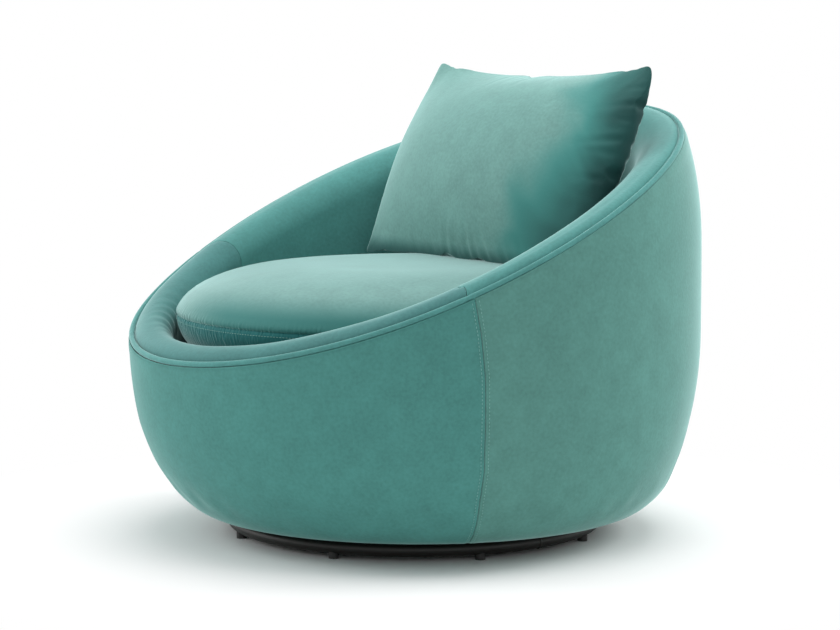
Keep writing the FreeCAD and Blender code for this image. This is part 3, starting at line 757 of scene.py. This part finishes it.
def cushionLine(curve, rise, inset):
    t = np.linspace(0, math.pi / 2, cushion["linePoints"])
    radius = cushion["radius"] - curve + (curve - inset) * np.cos(t)
    height = cushion["seam"] + (rise - math.copysign(inset, rise)) * np.sin(t)
    radius = np.append(radius, 0.0)
    height = np.append(height, height[-1])
    along = lengthAlong(np.stack([radius, height], -1))
    even = np.linspace(besideSeam[-1], along[-1] - cushion["centre"], cushion["rows"])
    steps = np.concatenate([besideSeam, even[1:]])
    return np.interp(steps, along, radius), np.interp(steps, along, height)


def cushionGrid(inset, turns):
    topR, topZ = cushionLine(cushion["topCurve"], cushion["crown"] - cushion["seam"], inset)
    lowR, lowZ = cushionLine(cushion["lowCurve"], cushion["bottom"] - cushion["seam"], inset)
    radius = np.concatenate([lowR[::-1], topR[1:]])[:, None]
    height = np.concatenate([lowZ[::-1], topZ[1:]])[:, None]
    grid = polar(radius, fullTurn(turns), height)
    grid[..., 1] -= tub["wellForward"]
    return grid, len(lowR) - 1


def cushionFaces(rows, turns):
    faces = gridFaces(rows, turns, True)
    faces.append(tuple(range(turns))[::-1])
    faces.append(tuple(range((rows - 1) * turns, rows * turns)))
    return faces


def cushionSlack(grid, normals):
    rows, turns = grid.shape[:2]
    blankGrid = cushionGrid(cushion["shrink"], cushion["blankTurns"])[0]
    blankMesh = bpy.data.meshes.new("cushion blank")
    blankFaces = cushionFaces(rows, cushion["blankTurns"])
    blankMesh.from_pydata([tuple(p) for p in blankGrid.reshape(-1, 3)], [], blankFaces)
    blank = addObject("cushion blank", blankMesh)
    remesh(blank, cushion["voxel"])
    atSeam = np.abs(vertexArray(blank.data)[:, 2] - cushion["seam"]) < cushion["voxel"]
    inflate(blank, cushion, atSeam)
    corners = [v.co for v in blank.data.vertices]
    tree = BVHTree.FromPolygons(corners, [p.vertices for p in blank.data.polygons])
    bpy.data.objects.remove(blank)
    probe = cushion["probe"]
    found = np.zeros((rows, turns))
    for i in range(rows):
        for j in range(turns):
            point, normal = Vector(grid[i, j]), Vector(normals[i, j])
            hit = tree.ray_cast(point + normal * probe, -normal, 2 * probe)[3]
            found[i, j] = probe - hit if hit is not None else 0.0
    found = np.concatenate([found, found, found], 1).T
    found = eased(found, cushion["slackEase"]).T[:, turns:2 * turns]
    return found - found.mean(1, keepdims=True)


def cushionMesh():
    grid, seamRow = cushionGrid(0.0, cushion["turns"])
    normals = gridNormals(np.concatenate([grid, grid[:, :2]], 1))[:, :cushion["turns"]]
    normals[:, 0] = normals[:, 1]
    normals *= np.sign((normals * (grid - cushionMiddle)).sum())
    press = np.zeros(grid.shape[:2])
    press += cushion["slack"] * cushionSlack(grid, normals)
    along = lengthAlong(grid[:, 0])
    fromSeam = (along - along[seamRow])[:, None]
    theta = fullTurn(cushion["turns"])
    circle = polar(1, theta, 0)[None]
    swerve = cushion["swerve"] * roughness(circle, cushion["swerveSize"], cushion["swerveSeed"])
    spread = cushion["gatherSpread"] * roughness(circle, cushion["spreadSize"], cushion["spreadSeed"])
    wave = np.sin(2 * math.pi * theta * cushion["radius"] / cushion["gatherPitch"] + swerve)
    above = np.exp(-fromSeam / cushion["gatherAbove"])
    below = np.exp(fromSeam / cushion["gatherBelow"])
    fade = np.where(fromSeam > 0, above, below)
    press += cushion["gatherDepth"] * wave * (cushion["gatherLeast"] + spread) * fade
    press -= cushion["seamDip"] * np.exp(-np.abs(fromSeam) / cushion["seamWidth"])
    press += lip(fromSeam, *cushion["lip"])
    points = grid + normals * press[..., None]
    rolling = cushion["wave"] * roughness(points, cushion["waveSize"], cushion["waveSeed"])
    points[..., 2] += rolling * np.clip(fromSeam / cushion["waveFrom"], 0, 1)
    points[..., 2] = np.maximum(points[..., 2], cushion["bottom"])
    flat = points[..., :2] - cushionMiddle[:2]
    reach = np.linalg.norm(flat, axis=-1, keepdims=True)
    points[..., :2] = cushionMiddle[:2] + flat * np.minimum(1, cushion["reach"] / np.maximum(reach, 1e-6))
    return points, seamRow


cushionPoints, cushionSeamRow = cushionMesh()
seatCushion = newPiece(
    "seatCushion", cushionPoints.reshape(-1, 3), cushionFaces(*cushionPoints.shape[:2]),
    cushionVelvetWithShade, "seat_cushion", "velvet")
turnOut(seatCushion, lambda p: p - Vector(cushionMiddle))
seatCushion.data.materials.append(cushionBandShadedVelvet)
for face in seatCushion.data.polygons:
    face.material_index = int(face.center.z < cushion["seam"])
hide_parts("seat_cushion_top_cover", "seat_cushion_bottom_cover", "seat_cushion_foam")
print("seat cushion made,", len(seatCushion.data.polygons), "faces")

# Back pillow, two panels sewn edge to edge and filled
pillow = dict(
    cutWidth=0.560, cutHeight=0.345, grid=0.005, startSwell=0.045, centre=(0, 0.16, 0.55),
    halfWidth=0.274, flare=0.004, drawIn=0.002, height=0.330,
    lean=26.0, foot=0.0879, rest=0.4053, lowest=0.394,
    sideOut=0.009, sideBack=0.008, sidePower=6, swell=0.078, edge=0.005, fullness=0.62,
    sag=0.022, sagPower=2.4, droop=0.012, droopPower=4, blunt=0.004, bluntPower=20,
    quality=4, pressure=4.0, frames=16, cap=0.08, stiffness=0.6,
    edgeEase=9, creaseEase=7, creases=0.5, creaseCap=0.004, creaseEdge=0.008,
)
# Pleats gathered into the seam: place along the edge, length into the panel, width, depth, slant
rightPleats = ((0.292, 0.011, 0.0040, 0.0055, -0.25), (0.264, 0.015, 0.0045, 0.0075, -0.35),
               (0.236, 0.011, 0.0040, 0.0060, -0.15), (0.205, 0.017, 0.0050, 0.0080, -0.40),
               (0.180, 0.012, 0.0042, 0.0062, -0.10), (0.140, 0.014, 0.0050, 0.0055, -0.20))
bottomPleats = ((-0.125, 0.012, 0.0080, 0.0014, 0.25), (-0.078, 0.013, 0.0075, 0.0020, 0.30),
                (-0.040, 0.021, 0.0065, 0.0036, 0.55), (-0.014, 0.012, 0.0050, 0.0022, 0.45),
                (0.020, 0.022, 0.0060, 0.0040, 0.30), (0.043, 0.014, 0.0048, 0.0026, 0.12),
                (0.070, 0.020, 0.0058, 0.0036, -0.10), (0.118, 0.016, 0.0065, 0.0030, -0.20),
                (0.165, 0.015, 0.0070, 0.0026, -0.30))
topPleats = ((-0.085, 0.012, 0.0045, 0.0008, -0.40), (-0.050, 0.017, 0.0050, 0.0013, -0.50),
             (-0.024, 0.013, 0.0040, 0.0011, -0.45), (0.012, 0.015, 0.0045, 0.0010, -0.30),
             (0.070, 0.013, 0.0050, 0.0009, -0.10))
pillowColumns = round(pillow["cutWidth"] / pillow["grid"]) + 1
pillowRows = round(pillow["cutHeight"] / pillow["grid"]) + 1
pillowRow, pillowColumn = np.divmod(np.arange(pillowRows * pillowColumns), pillowColumns)
pillowEdge = np.isin(pillowRow, (0, pillowRows - 1)) | np.isin(pillowColumn, (0, pillowColumns - 1))


def pillowMesh():
    u = 2 * pillowColumn / (pillowColumns - 1) - 1
    v = 2 * pillowRow / (pillowRows - 1) - 1
    bulge = pillow["startSwell"] * np.sqrt((1 - u**2) * (1 - v**2))
    x = u * pillow["cutWidth"] / 2
    z = v * pillow["cutHeight"] / 2
    front = np.stack([x, -bulge, z], -1)
    rear = np.stack([x, bulge, z], -1)
    faces = gridFaces(pillowRows, pillowColumns)
    count = len(front)
    renumber = np.where(pillowEdge, np.arange(count), np.cumsum(~pillowEdge) - 1 + count)
    faces += [tuple(int(renumber[k]) for k in face[::-1]) for face in faces]
    return np.concatenate([front, rear[~pillowEdge]]), faces


backPillow = newPiece("backPillow", *pillowMesh(), pillowVelvetWithShade, "back_pillow", "velvet")


pleatForm = dict(ridge=0.6, apart=1.7, root=0.006)


def pleats(rows, along, inward):
    ridge, apart = pleatForm["ridge"], pleatForm["apart"]
    total = np.zeros_like(along)
    for place, length, width, depth, slant in rows:
        off = (along - place - slant * inward) / width
        fold = ridge * np.exp(-(off - apart) ** 2) + ridge * np.exp(-(off + apart) ** 2) - np.exp(-off**2)
        total += depth * fold * np.exp(-inward / length) * (1 - np.exp(-inward / pleatForm["root"]))
    return total


def pillowDepth(u, v, half, creases):
    full = np.maximum(1 - u**2, 0) ** pillow["fullness"]
    swell = pillow["edge"] + (pillow["swell"] - pillow["edge"]) * full
    bow = (half**2 + swell**2) / (2 * swell)
    form = np.sqrt(np.maximum(bow**2 - (v * half) ** 2, 0)) - (bow - swell)
    return np.maximum(form, 0) + creases


def placePillow():
    points = vertexArray(backPillow.data)
    size = (pillowRows, pillowColumns)
    front = points[:pillowRows * pillowColumns].reshape(*size, 3)
    rear = front.copy().reshape(-1, 3)
    rear[~pillowEdge] = points[pillowRows * pillowColumns:]
    rear = rear.reshape(*size, 3)
    left, right = eased(front[:, 0, 0], pillow["edgeEase"]), eased(front[:, -1, 0], pillow["edgeEase"])
    low, high = eased(front[0, :, 2], pillow["edgeEase"]), eased(front[-1, :, 2], pillow["edgeEase"])
    lean = math.radians(pillow["lean"])
    placed = []
    for sheet, way in ((front, -1), (rear, 1)):
        u = 2 * (sheet[..., 0] - left[:, None]) / (right - left)[:, None] - 1
        v = 2 * (sheet[..., 2] - low[None]) / (high - low)[None] - 1
        across = u * (pillow["halfWidth"] + pillow["flare"] * (v + 1) / 2 - pillow["drawIn"] * (1 - v**2))
        leaning = np.clip(u, 0, 1) ** 2 * (1 - v ** pillow["sidePower"])
        across += pillow["sideOut"] * leaning
        top = pillow["height"] - pillow["sag"] * (1 - np.abs(u) ** pillow["sagPower"])
        bottom = -pillow["droop"] * u ** pillow["droopPower"]
        up = bottom + (top - bottom) * (v + 1) / 2
        corner = pillow["blunt"] * np.abs(u * v) ** pillow["bluntPower"]
        across -= corner * np.sign(u)
        up -= corner * np.sign(v)
        bulge = way * sheet[..., 1]
        smooth = eased(eased(bulge, pillow["creaseEase"]).T, pillow["creaseEase"]).T
        creases = (bulge - smooth) * pillow["creases"]
        creases -= creases.mean(0, keepdims=True)
        creases -= creases.mean(1, keepdims=True)
        creases = np.clip(creases, -pillow["creaseCap"], pillow["creaseCap"])
        edge = np.minimum(np.minimum(pillow["halfWidth"] - np.abs(across), up - bottom), top - up)
        creases *= 1 - np.exp(-np.maximum(edge, 0) / pillow["creaseEdge"])
        creases += pleats(rightPleats, up, np.maximum((1 - u) * pillow["halfWidth"], 0))
        creases += pleats(bottomPleats, across, np.maximum(up - bottom, 0))
        creases += pleats(topPleats, across, np.maximum(top - up, 0))
        deep = way * pillowDepth(np.clip(u, -1, 1), np.clip(v, -1, 1), (top - bottom) / 2, creases)
        y = pillow["foot"] + up * math.sin(lean) + deep * math.cos(lean) + pillow["sideBack"] * leaning
        z = pillow["rest"] + up * math.cos(lean) - deep * math.sin(lean)
        placed.append(np.stack([across, y, np.maximum(z, pillow["lowest"])], -1).reshape(-1, 3))
    placed[0][pillowEdge] = (placed[0][pillowEdge] + placed[1][pillowEdge]) / 2
    setVertices(backPillow.data, np.concatenate([placed[0], placed[1][~pillowEdge]]))


inflate(backPillow, pillow)
placePillow()
subdivideOnce(backPillow)
turnOut(backPillow, lambda p: p - Vector(pillow["centre"]))
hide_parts("back_pillow_front_cover", "back_pillow_rear_cover", "back_pillow_fill")
print("back pillow made,", len(backPillow.data.polygons), "faces")

# Sprung deck under the seat cushion, with two crossed seams
deck = dict(
    radius=0.366, thickness=0.003, below=0.0006, drop=0.002, dropPower=6,
    rings=40, turns=160, firstRing=0.02, seamDip=0.0012, seamWidth=0.003,
    slack=0.0005, slackSize=0.06, slackSeed=41,
)


def deckMesh():
    share = np.linspace(deck["firstRing"], 1, deck["rings"])[:, None]
    height = tub["deck"] - deck["below"] - deck["drop"] * share ** deck["dropPower"]
    points = polar(share * deck["radius"], fullTurn(deck["turns"]), height)
    for axis in (0, 1):
        points[..., 2] -= deck["seamDip"] * np.exp(-np.abs(points[..., axis]) / deck["seamWidth"])
    points[..., 2] += deck["slack"] * np.minimum(0, roughness(points, deck["slackSize"], deck["slackSeed"]))
    faces = gridFaces(deck["rings"], deck["turns"], True)
    faces.append(tuple(range(deck["turns"]))[::-1])
    return points.reshape(-1, 3), faces


seatDeck = newPiece("seatDeck", *deckMesh(), deckCloth, "tub", "black_cloth")
turnOut(seatDeck, lambda p: Vector((0, 0, 1)))
thicken(seatDeck, deck["thickness"])
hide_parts("deck_cloth", "deck_pad")

# Dust cover under the tub
dustCover = dict(
    inner=0.1405, outer=0.257, height=0.0349, sag=0.0018, ripple=0.0006, ripples=30, rings=24, turns=180,
)


def dustCoverMesh():
    share = np.linspace(0, 1, dustCover["rings"])[:, None]
    theta = fullTurn(dustCover["turns"])[None, :]
    radius = dustCover["inner"] + (dustCover["outer"] - dustCover["inner"]) * share
    height = dustCover["height"] - dustCover["sag"] * np.sin(math.pi * share)
    ripple = dustCover["ripple"] * np.sin(theta * dustCover["ripples"])
    height = height - ripple * share**3 * (1 - share) * 4
    points = polar(radius, theta, height).reshape(-1, 3)
    return points, gridFaces(dustCover["rings"], dustCover["turns"], True)


dustSheet = newPiece("dustCover", *dustCoverMesh(), blackCloth, "tub", "black_cloth")
turnOut(dustSheet, lambda p: Vector((0, 0, -1)))
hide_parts("dust_cover")
print("deck and dust cover made")


# Sewn rows: one small thread after another along a seam
stitch = dict(
    pitch=0.0052, length=0.0036, thickness=0.0011, segments=6, rings=4, lift=0.0003,
    beside=0.0052, lowEnd=0.09, highEnd=0.985, points=160, rounds=5, belowSeam=0.0045, ease=4,
)


def stitchTree():
    tree = bpy.data.node_groups.new("sewn row", "GeometryNodeTree")
    tree.interface.new_socket(name="Geometry", in_out="INPUT", socket_type="NodeSocketGeometry")
    sizes = {}
    for name in ("Pitch", "Length", "Thickness"):
        item = tree.interface.new_socket(name=name, in_out="INPUT", socket_type="NodeSocketFloat")
        sizes[name] = item.identifier
    tree.interface.new_socket(name="Geometry", in_out="OUTPUT", socket_type="NodeSocketGeometry")
    given = addNode(tree, "NodeGroupInput")
    places = addNode(tree, "GeometryNodeCurveToPoints", {
        "Curve": given.outputs["Geometry"], "Length": given.outputs["Pitch"]}, mode="LENGTH")
    ball = addNode(tree, "GeometryNodeMeshUVSphere", {
        "Segments": stitch["segments"], "Rings": stitch["rings"], "Radius": 0.5})
    size = addNode(tree, "ShaderNodeCombineXYZ", {
        "X": given.outputs["Thickness"], "Y": given.outputs["Thickness"], "Z": given.outputs["Length"]})
    thread = addNode(tree, "GeometryNodeTransform", {
        "Geometry": ball.outputs["Mesh"], "Scale": size.outputs["Vector"]})
    copies = addNode(tree, "GeometryNodeInstanceOnPoints", {
        "Points": places.outputs["Points"], "Instance": thread.outputs["Geometry"],
        "Rotation": places.outputs["Rotation"]})
    real = addNode(tree, "GeometryNodeRealizeInstances", {"Geometry": copies.outputs["Instances"]})
    finish = addNode(tree, "GeometryNodeSetMaterial", {
        "Geometry": real.outputs["Geometry"], "Material": threadFinish})
    done = addNode(tree, "NodeGroupOutput")
    tree.links.new(finish.outputs["Geometry"], done.inputs["Geometry"])
    return tree, sizes


sewnRow, sewnSizes = stitchTree()


def sew(name, rows, body):
    path = bpy.data.curves.new(name + " path", "CURVE")
    path.dimensions = "3D"
    for row in rows:
        spline = path.splines.new("POLY")
        spline.points.add(len(row) - 1)
        spline.points.foreach_set("co", np.column_stack([row, np.ones(len(row))]).ravel())
    guide = addObject(name + " path", path)
    nodes = guide.modifiers.new("sewn row", "NODES")
    nodes.node_group = sewnRow
    for size, identifier in sewnSizes.items():
        nodes[identifier] = stitch[size.lower()]
    mesh = evaluatedMesh(guide)
    guide.modifiers.remove(nodes)
    bpy.data.objects.remove(guide)
    mesh.shade_smooth()
    piece = addObject(name, mesh)
    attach(piece, body)
    print(name, len(mesh.polygons), "faces")


def seamRows():
    rows = []
    share = np.linspace(stitch["lowEnd"], stitch["highEnd"], stitch["points"])
    for side in (-1, 1):
        for beside in (-1, 1):
            theta = np.full_like(share, -math.pi / 2 + side * math.radians(outer["sideAngle"]))
            for _ in range(stitch["rounds"]):
                points = outerPoint(theta, share)[0]
                away = beside * stitch["beside"] / np.hypot(points[:, 0], points[:, 1])
                theta = -math.pi / 2 + side * seamAngle(points[:, 2]) + away
            rows.append(points + polar(stitch["lift"], theta, 0))
    return rows


def cushionRow():
    row = cushionSeamRow - np.searchsorted(besideSeam, stitch["belowSeam"])
    ring = eased(cushionPoints[row], stitch["ease"])
    flat = ring - np.array([0, -tub["wellForward"], 0])
    flat[:, 2] = 0
    return [ring + flat / np.linalg.norm(flat, axis=1, keepdims=True) * stitch["lift"]]


sew("sideSeamStitches", seamRows(), "tub")
sew("cushionStitches", cushionRow(), "seat_cushion")

# Weld left where the base tube's ends meet
weld = dict(
    angle=7.0, ring=0.274, height=0.017, tube=0.010, bead=0.0016, flat=0.5, ripple=0.2, ripples=9,
    turns=40, sides=10,
)


def weldMesh():
    a = math.radians(weld["angle"])
    out = np.array([math.cos(a), math.sin(a), 0])
    along = np.array([-math.sin(a), math.cos(a), 0])
    up = np.array([0, 0, 1.0])
    turn = fullTurn(weld["turns"])[:, None]
    away = np.cos(turn) * out + np.sin(turn) * up
    path = out * weld["ring"] + up * weld["height"] + weld["tube"] * away
    bead = weld["bead"] * (1 + weld["ripple"] * np.sin(turn * weld["ripples"]))
    sides = fullTurn(weld["sides"])[None, :, None]
    ring = away[:, None] * np.cos(sides) * weld["flat"] + along * np.sin(sides)
    points = path[:, None] + ring * bead[:, None]
    return points.reshape(-1, 3), gridFaces(weld["turns"], weld["sides"], True, True)


newPiece("ringWeld", *weldMesh(), powderCoat, "base", "black_steel")
print("weld made")

# Stage, light and camera
stage = dict(
    half=30.0, floor="#F4F4F4", roughness=0.9, specular=0.1, fade=(0.35, 0.85),
    ambient=0.66, target=(0, 0, 0.35),
)
lamps = (
    ("left softbox", (-2.4, -2.4, 1.6), (1.8, 2.2), 60),
    ("back softbox", (0.9, 3.2, 2.0), (1.8, 2.0), 66),
    ("top softbox", (0.2, 0.3, 3.2), (2.6, 2.6), 58),
    ("far softbox", (-1.6, 1.8, 2.9), (2.0, 2.0), 8),
)
camera = dict(place=(3.3365, -2.1667, 0.7399), forward=(-0.8330, 0.5434, -0.1040), lens=113.4, sensor=36.0)
white = (1, 1, 1, 1)
scene.view_settings.view_transform = "Standard"


def seenDirectly(tree, *kinds):
    rays = addNode(tree, "ShaderNodeLightPath")
    seen = rays.outputs["Is Camera Ray"]
    for kind in kinds:
        either = addNode(tree, "ShaderNodeMath", {0: seen, 1: rays.outputs[kind]}, operation="MAXIMUM")
        seen = either.outputs["Value"]
    return seen


def stageFloor():
    mesh = bpy.data.meshes.new("floor")
    half = stage["half"]
    corners = [(-half, -half, 0), (half, -half, 0), (half, half, 0), (-half, half, 0)]
    mesh.from_pydata(corners, [], [(0, 1, 2, 3)])
    floor = addObject("floor", mesh)
    material, tree, shader = startMaterial(
        "pale floor", Roughness=stage["roughness"], Base_Color=linearColour(stage["floor"]),
        Specular_IOR_Level=stage["specular"])
    place = addNode(tree, "ShaderNodeTexCoord")
    away = addNode(tree, "ShaderNodeVectorMath", {0: place.outputs["Object"]}, operation="LENGTH")
    fadeStart, fadeEnd = stage["fade"]
    fade = addNode(tree, "ShaderNodeMapRange", {
        "Value": away.outputs["Value"], "From Min": fadeStart, "From Max": fadeEnd},
        interpolation_type="SMOOTHSTEP")
    part = addNode(tree, "ShaderNodeMath", {
        0: seenDirectly(tree, "Is Glossy Ray"), 1: fade.outputs["Result"]}, operation="MULTIPLY")
    glow = addNode(tree, "ShaderNodeEmission", {"Color": white, "Strength": 1.0})
    mix = addNode(tree, "ShaderNodeMixShader", {
        0: part.outputs["Value"], 1: shader.outputs["BSDF"], 2: glow.outputs["Emission"]})
    tree.links.new(mix.outputs["Shader"], tree.nodes["Material Output"].inputs["Surface"])
    mesh.materials.append(material)


def stageWorld():
    world = bpy.data.worlds.new("studio")
    scene.world = world
    world.use_nodes = True
    tree = world.node_tree
    soft = tree.nodes["Background"]
    soft.inputs["Color"].default_value = white
    soft.inputs["Strength"].default_value = stage["ambient"]
    glow = addNode(tree, "ShaderNodeBackground", {"Color": white, "Strength": 1.0})
    mix = addNode(tree, "ShaderNodeMixShader", {
        0: seenDirectly(tree, "Is Glossy Ray", "Is Transmission Ray"),
        1: soft.outputs["Background"], 2: glow.outputs["Background"]})
    tree.links.new(mix.outputs["Shader"], tree.nodes["World Output"].inputs["Surface"])


def aim(placed, place, direction):
    placed.location = place
    placed.rotation_euler = Vector(direction).to_track_quat("-Z", "Y").to_euler()


def softbox(name, place, size, power):
    lamp = bpy.data.lights.new(name, "AREA")
    lamp.shape = "RECTANGLE"
    lamp.size, lamp.size_y = size
    lamp.energy = power
    aim(addObject(name, lamp), place, Vector(stage["target"]) - Vector(place))


stageFloor()
stageWorld()
for lampRow in lamps:
    softbox(*lampRow)
lensData = bpy.data.cameras.new("camera")
lensData.sensor_width = camera["sensor"]
lensData.lens = camera["lens"]
viewer = addObject("camera", lensData)
aim(viewer, camera["place"], camera["forward"])
scene.camera = viewer
print("stage made")
